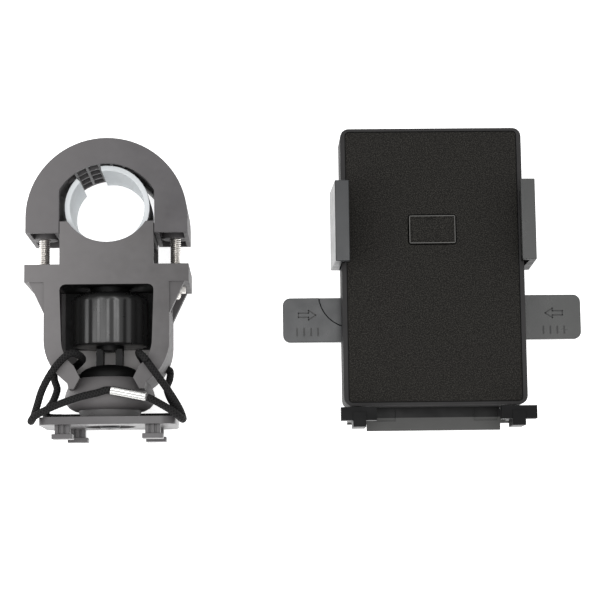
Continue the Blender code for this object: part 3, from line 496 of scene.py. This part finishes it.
def knob(work):
    """The knob, turned about Y, with shallow flutes round its side."""

    def fluted(share):
        def shape(angle):
            dip = abs(math.cos(FLUTES * angle / 2)) ** 3
            return 1 - share * FLUTE_DEPTH * dip / KNOB_R

        return shape

    profile = [
        (PIVOT_R, PIVOT_TOP, 0),
        (PIVOT_R, KNOB_TOP, 0),
        (KNOB_R - 3.4, KNOB_TOP, 0),
        (KNOB_R - 2.7, KNOB_TOP - 0.12, 0),
        (KNOB_R - 1.0, KNOB_TOP - 1.1, 0),
        (KNOB_R - 0.4, KNOB_TOP - 1.7, 0),
        (KNOB_R - 0.1, KNOB_TOP - 2.4, 0.1),
        (KNOB_R, KNOB_TOP - 3.0, 0.8),
        (KNOB_R, KNOB_TOP - 3.4, 1),
        (KNOB_R, KNOB_LOW + 0.7, 1),
        (KNOB_R - 0.15, KNOB_LOW + 0.25, 1),
        (KNOB_R - 0.6, KNOB_LOW, 1),
        (BORE_R, KNOB_LOW, 0),
        (BORE_R, BORE_TOP, 0),
    ]
    rings_to_faces(work, [turned_ring(r, y, KNOB_STEPS, fluted(s)) for r, y, s in profile])


piece = new_piece("fluted_knob", knob, CLAMP, GLOSS_BLACK, 38)
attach(piece, "knob")
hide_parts("lock_knob")

# --------------------------------------------------------------- elastic cord

CORD_R = 1.35
CORD_SIDES = 16
SHEATH_RELIEF, SHEATH_WAVES, SHEATH_TURN = 0.05, 4, 3.0
STEPS_A_POINT = 9
OVERLAP = 0.06  # how far one stretch of cord runs into the next, in route points
CRIMP_ENDS = (Vector((1.6, -64.8, 19.2)), Vector((13.6, -67.2, 19.2)))
ROUTE = [
    (17.6, -69.0, 18.9),
    (21.4, -71.2, 18.2),
    (24.4, -73.3, 17.0),
    (26.0, -74.6, 14.2),
    (26.0, -73.6, 11.6),
    (24.8, -70.6, 13.4),
    (22.4, -66.6, 16.8),
    (19.4, -62.2, 18.7),
    (15.8, -57.2, 19.2),
    (12.9, -53.3, 18.6),
    (11.2, -51.6, 15.6),
    (10.9, -51.5, 9.0),
    (11.4, -52.4, 1.0),
    (12.9, -54.2, -6.4),
    (15.6, -55.0, -9.8),
    (18.0, -55.0, -10.0),
    (20.6, -55.6, -10.0),
    (20.6, -58.6, -9.4),
    (19.6, -62.0, -8.6),
    (21.0, -66.2, -8.4),
    (23.6, -69.8, -9.8),
    (23.2, -71.4, -12.4),
    (19.0, -71.7, -14.4),
    (10.0, -71.7, -14.9),
    (0.0, -71.7, -15.0),
    (-10.0, -71.7, -14.9),
    (-19.0, -71.7, -14.4),
    (-23.2, -71.4, -12.4),
    (-23.6, -69.8, -9.8),
    (-21.0, -66.2, -8.4),
    (-19.6, -62.0, -8.6),
    (-20.6, -58.6, -9.4),
    (-20.6, -55.6, -10.0),
    (-18.0, -55.0, -10.0),
    (-15.6, -55.0, -9.8),
    (-12.9, -54.2, -6.4),
    (-10.4, -53.2, 1.0),
    (-9.0, -52.9, 9.0),
    (-9.6, -52.2, 15.8),
    (-12.2, -51.9, 18.9),
    (-15.6, -54.6, 19.4),
    (-19.0, -59.0, 19.2),
    (-22.0, -64.4, 18.0),
    (-23.8, -69.4, 16.2),
    (-25.4, -73.4, 13.6),
    (-26.0, -74.9, 15.2),
    (-24.6, -73.4, 17.6),
    (-20.4, -71.2, 18.8),
    (-15.0, -69.0, 19.2),
    (-9.0, -67.0, 19.3),
    (-3.0, -65.6, 19.2),
]
# Which stretches of the route go with which bodies, by number of route point: a stretch with
# one body is attached to it; a stretch between the clamp and the plate is cut into pieces, left
# unattached.
TO_PLATE = ("clamp", "ball_tilt", "ball", "plate")
STRETCHES = [
    (-1.0, 2.4, TO_PLATE),
    (2.4, 4.2, ("plate",)),
    (4.2, 8.5, TO_PLATE[::-1]),
    (8.5, 16.5, ("clamp",)),
    (16.5, 20.5, TO_PLATE),
    (20.5, 27.5, ("plate",)),
    (27.5, 31.5, TO_PLATE[::-1]),
    (31.5, 40.0, ("clamp",)),
    (40.0, 44.0, TO_PLATE),
    (44.0, 46.0, ("plate",)),
    (46.0, 52.0, TO_PLATE[::-1]),
]
SHARES = {1: (0.0, 1.0), 4: (0.0, 0.15, 0.3, 1.0)}


def curve_point(points, t):
    """The smooth curve through the points, at point number t."""
    i = min(max(int(math.floor(t)), 0), len(points) - 2)
    u = t - i
    b, c = points[i], points[i + 1]
    a = points[i - 1] if i > 0 else 2 * b - c
    d = points[i + 2] if i + 2 < len(points) else 2 * c - b
    bend = (2 * a - 5 * b + 4 * c - d) * u * u + (3 * b - a - 3 * c + d) * u**3
    return (2 * b + (c - a) * u + bend) / 2


def cord_line():
    """The whole loop, from inside the crimp back into it: (route point number, place)."""
    left, right = CRIMP_ENDS
    along = (right - left).normalized()
    inside = (left + right) / 2
    points = [inside, right + along * 0.6] + [Vector(p) for p in ROUTE]
    points += [left - along * 0.6, inside]
    line = []
    for i in range((len(points) - 1) * STEPS_A_POINT + 1):
        t = i / STEPS_A_POINT
        line.append((t - 2.0, curve_point(points, t)))
    return line


def carried_frames(line):
    """Places with a side direction that doesn't twist, and the length so far."""
    places = [p for _, p in line]
    tangents = []
    for i in range(len(places)):
        one, two = places[max(i - 1, 0)], places[min(i + 1, len(places) - 1)]
        tangents.append((two - one).normalized())
    side = tangents[0].orthogonal().normalized()
    frames, length = [], 0.0
    for i, (number, place) in enumerate(line):
        side = (side - tangents[i] * side.dot(tangents[i])).normalized()
        if i:
            length += (place - places[i - 1]).length
        frames.append((number, place, side.copy(), tangents[i].cross(side), length))
    return frames


def tube(name, frames):
    """A stretch of cord with its sheath's threads standing up a little."""
    mesh = bpy.data.meshes.new(name)
    verts, faces, uvs = [], [], []
    for _, place, side, up, length in frames:
        for k in range(CORD_SIDES):
            angle = math.tau * k / CORD_SIDES
            turned, on = SHEATH_WAVES * angle, SHEATH_TURN * length
            wave = math.sin(turned + on) * math.sin(turned - on)
            r = CORD_R - SHEATH_RELIEF + SHEATH_RELIEF * wave
            out = side * math.cos(angle) + up * math.sin(angle)
            verts.append((place + out * r + CLAMP) * MM)
    for i in range(len(frames) - 1):
        for k in range(CORD_SIDES):
            m = (k + 1) % CORD_SIDES
            base, above = i * CORD_SIDES, (i + 1) * CORD_SIDES
            faces.append((base + k, base + m, above + m, above + k))
            u0, u1 = frames[i][4], frames[i + 1][4]
            v0, v1 = k / CORD_SIDES, (k + 1) / CORD_SIDES
            uvs += [(u0, v0), (u0, v1), (u1, v1), (u1, v0)]
    faces.append(tuple(reversed(range(CORD_SIDES))))
    faces.append(tuple(range((len(frames) - 1) * CORD_SIDES, len(frames) * CORD_SIDES)))
    uvs += [(0.0, 0.0)] * (2 * CORD_SIDES)
    mesh.from_pydata(verts, [], faces)
    layer = mesh.uv_layers.new(name="UVMap")
    for number, uv in enumerate(uvs):
        layer.data[number].uv = uv
    mesh.materials.append(BRAID)
    mesh.shade_smooth()
    mesh.update()
    obj = bpy.data.objects.new(name, mesh)
    bpy.context.scene.collection.objects.link(obj)
    return obj


def tether():
    """The cord's loop, cut where the body that carries it changes."""
    frames = carried_frames(cord_line())
    for number, (start, end, bodies) in enumerate(STRETCHES):
        shares = SHARES[len(bodies)]
        if bodies[0] == "plate" and len(bodies) > 1:
            shares = [1 - s for s in reversed(shares)]
        for part in range(len(shares) - 1):
            low = start + (end - start) * shares[part]
            high = start + (end - start) * shares[part + 1]
            part_frames = [f for f in frames if low - OVERLAP <= f[0] <= high + OVERLAP]
            if len(part_frames) < 2:
                continue
            piece = tube(f"cord_{number:02d}_{part}", part_frames)
            if len(bodies) == 1:
                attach(piece, bodies[0])
            else:
                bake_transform(piece)
    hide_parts("tether_cord")


tether()

CRIMP_STEPS = 40
SEAM_DEPTH, SEAM_WIDTH = 0.16, 0.35  # a share of the radius, and radians


def crimp(work):
    """A tube rolled from a strip: its seam runs along the front."""

    def seam(angle):
        off = min(abs(angle - math.pi / 2), math.tau - abs(angle - math.pi / 2))
        return 1 - SEAM_DEPTH * max(0.0, 1 - off / SEAM_WIDTH)

    profile = [(1.26, 0.5), (1.26, 0.0), (1.42, -0.12), (1.6, 0.15), (1.57, 0.5)]
    half = (CRIMP_ENDS[1] - CRIMP_ENDS[0]).length / 2
    left = [(r, -half + 0.12 + y) for r, y in profile]
    right = [(r, half - 0.12 - y) for r, y in reversed(profile)]
    outline = left + right
    rows = []
    for r, y in outline:
        shape = seam if r > 1.3 else None
        rows.append([work.verts.new(p) for p in turned_ring(r, y, CRIMP_STEPS, shape)])
    rows.append(rows[0])
    for one, two in zip(rows, rows[1:]):
        for i in range(CRIMP_STEPS):
            k = (i + 1) % CRIMP_STEPS
            work.faces.new((one[i], one[k], two[k], two[i]))
    along = (CRIMP_ENDS[1] - CRIMP_ENDS[0]).normalized()
    turn = Vector((0, 1, 0)).rotation_difference(along).to_matrix().to_4x4()
    bmesh.ops.transform(work, matrix=turn, verts=work.verts)


crimp_middle = CLAMP + (CRIMP_ENDS[0] + CRIMP_ENDS[1]) / 2
piece = new_piece("rolled_crimp", crimp, crimp_middle, CRIMP_METAL, 40)
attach(piece, "clamp")
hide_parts("tether_crimp")

# ------------------------------- arrows and bars on the tabs, line on the button


def strip(work, points, width, low, high):
    """A raised line of that width along a closed or open run of points."""
    for one, two in zip(points, points[1:]):
        a, b = Vector((*one, 0)), Vector((*two, 0))
        along = (b - a).normalized() * width / 2
        across = Vector((-along.y, along.x, 0))
        corners = [a - along - across, b + along - across, b + along + across, a - along + across]
        rows = [[work.verts.new((c.x, c.y, z)) for c in corners] for z in (low, high)]
        for i in range(4):
            k = (i + 1) % 4
            work.faces.new((rows[0][i], rows[0][k], rows[1][k], rows[1][i]))
        work.faces.new(rows[0])
        work.faces.new(rows[1])


ARROW = [(-3.2, -0.75), (0.4, -0.75), (0.4, -1.7), (3.0, 0)]
ARROW += [(x, -y) for x, y in reversed(ARROW[:3])] + ARROW[:1]
ARROW_LINE, BAR_LINE = 0.42, 0.55
BARS, BAR_GAP, BAR_LOW, BAR_TOP = 4, 2.5, -7.3, -4.9
SUNK, RAISED = 0.05, 0.12
# A tab's name, its body, which way its arrow points, and the arrow's middle.
TABS = (
    ("left_tab", "right_jaw", 1, (-44.6, -16.0, 10.8)),
    ("right_tab", "left_jaw", -1, (43.6, -16.4, 13.7)),
)
for name, body, way, (x, y, top) in TABS:

    def arrow(work):
        outline = [(x + way * a, y + b) for a, b in ARROW]
        strip(work, outline, ARROW_LINE, top - SUNK, top + RAISED)

    def bars(work):
        for bar in range(BARS):
            at = x + (bar - (BARS - 1) / 2) * BAR_GAP
            strip(work, [(at, y + BAR_LOW), (at, y + BAR_TOP)], BAR_LINE, top - SUNK, top + RAISED)

    for part, build in (("arrow", arrow), ("bars", bars)):
        piece = new_piece(f"{name}_{part}", build, CRADLE, LINE_DARK, 30)
        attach(piece, body)

BUTTON_Y, BUTTON_HALF = 13.0, (8.05, 4.85)
BUTTON_LINE, BUTTON_RAISED = 0.2, 0.03
BUTTON_FACE = max(corner[2] for corner in NODES["trigger_button"].bound_box) / MM


def button_line(work):
    """A pale line just inside the button's outline."""
    x, y = BUTTON_HALF
    run = [(-x, BUTTON_Y - y), (x, BUTTON_Y - y), (x, BUTTON_Y + y), (-x, BUTTON_Y + y)]
    strip(work, run + run[:1], BUTTON_LINE, BUTTON_FACE - SUNK, BUTTON_FACE + BUTTON_RAISED)


piece = new_piece("button_line", button_line, CRADLE, RIM_LIGHT, 30)
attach(piece, "button")

# ------------------------------------------------- floor, light and the camera

FLOOR_SIZE, FLOOR_Z = 6.0, -0.0002
FLOOR_GLOW, WORLD_GLOW = 0.75, 0.8  # the floor glows so that it reads as white paper

bpy.ops.mesh.primitive_plane_add(size=FLOOR_SIZE, location=(0, 0, FLOOR_Z))
floor = bpy.context.object
floor.name = "floor"
pale, _, surface = blank_material("pale_floor")
socket(surface, "Base Color", (0.93, 0.93, 0.93, 1))
socket(surface, "Roughness", 0.9)
socket(surface, "Specular IOR Level", 0.1)
socket(surface, "Emission Color", (1, 1, 1, 1))
socket(surface, "Emission Strength", FLOOR_GLOW)
floor.data.materials.append(pale)

world = bpy.data.worlds.new("studio")
bpy.context.scene.world = world
world.use_nodes = True
background = world.node_tree.nodes["Background"]
background.inputs["Color"].default_value = (1, 1, 1, 1)
background.inputs["Strength"].default_value = WORLD_GLOW


def softbox(name, place, aim, size, power):
    """A rectangular light at a place, facing another; metres and watts."""
    light = bpy.data.lights.new(name, "AREA")
    light.shape = "RECTANGLE"
    light.size, light.size_y = size
    light.energy = power
    obj = bpy.data.objects.new(name, light)
    obj.location = place
    obj.rotation_euler = (Vector(aim) - Vector(place)).to_track_quat("-Z", "Y").to_euler()
    bpy.context.scene.collection.objects.link(obj)


softbox("softbox_left", (-0.7, -0.2, 0.7), (-0.05, 0, 0), (0.5, 0.9), 3.4)
softbox("softbox_top", (0.0, -0.05, 1.1), (0, 0, 0), (0.5, 0.5), 4.0)

FOCAL_LENGTH, SENSOR_WIDTH = 114.0, 36.0  # in mm
CAMERA_PLACE = (-0.01781, -0.09334, 0.68796)
CAMERA_TURN = (7.449, -1.223, -0.727)  # in degrees; matched to the photo's view

lens = bpy.data.cameras.new("camera")
lens.lens = FOCAL_LENGTH
lens.sensor_width = SENSOR_WIDTH
lens.clip_start = 0.05
camera = bpy.data.objects.new("camera", lens)
camera.location = CAMERA_PLACE
camera.rotation_euler = [math.radians(a) for a in CAMERA_TURN]
bpy.context.scene.collection.objects.link(camera)
bpy.context.scene.camera = camera
bpy.context.scene.view_settings.view_transform = "Standard"
